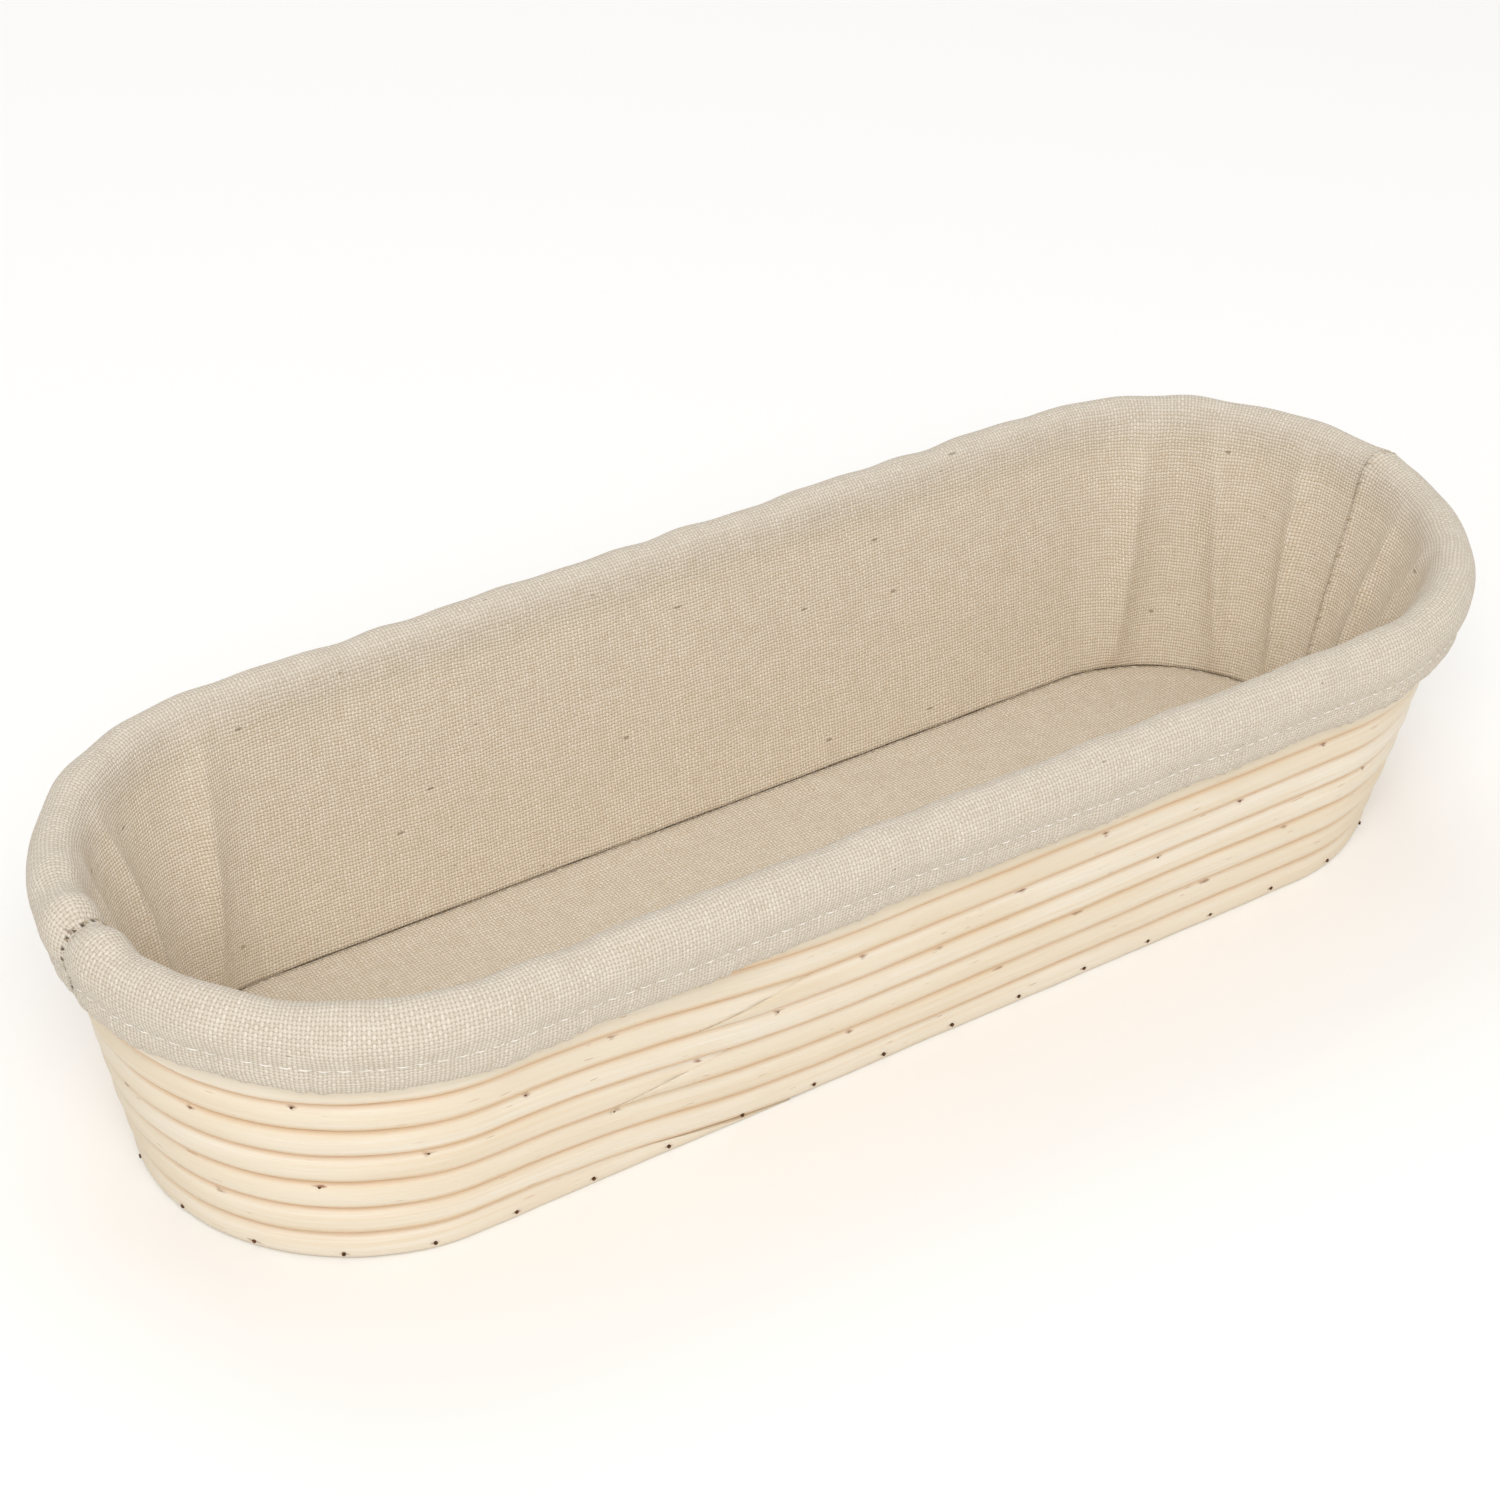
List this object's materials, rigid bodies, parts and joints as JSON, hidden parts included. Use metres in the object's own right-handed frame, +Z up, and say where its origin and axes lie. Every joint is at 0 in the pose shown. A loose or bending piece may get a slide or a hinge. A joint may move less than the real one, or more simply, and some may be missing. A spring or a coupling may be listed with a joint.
{
  "type": "banneton basket",
  "caption": "Oblong dough proofing basket of coiled pale rattan cane, with a lift-out linen liner turned down over the rim.",
  "frame": {"origin": "on the standing surface, under the middle of the basket", "axes": "+X along the basket's length, +Y across it, +Z up out of its mouth; the coil starts and ends on the -Y side"},
  "size_m": [0.3766, 0.1366, 0.079],
  "materials": {
    "cane": "raw split rattan, fine lengthwise fibre, dry and matt",
    "brad_wire": "dull iron wire, lightly rusted",
    "linen": "unbleached plain-weave linen, soft and matt",
    "elastic": "flat woven white elastic, matt",
    "thread": "white sewing thread, faint sheen"
  },
  "bodies": {
    "basket": {"wall_cane_1": "cane", "wall_cane_2": "cane", "wall_cane_3": "cane", "wall_cane_4": "cane", "wall_cane_5": "cane", "wall_cane_6": "cane", "base_core_strip": "cane", "base_cane_inner": "cane", "base_cane_outer": "cane", "wall_brads": "brad_wire", "base_edge_brads": "brad_wire", "base_cross_brads": "brad_wire"},
    "liner": {"liner_base_panel": "linen", "liner_wall_front": "linen", "liner_wall_back": "linen", "hem_elastic": "elastic", "hem_thread": "thread", "base_seam_thread": "thread", "end_seam_thread_left": "thread", "end_seam_thread_right": "thread"}
  },
  "joints": [
    {"name": "liner_lift", "type": "slide", "parent": "basket", "child": "liner", "axis": [0, 0, 1], "range_m": [0, 0.1]}
  ]
}
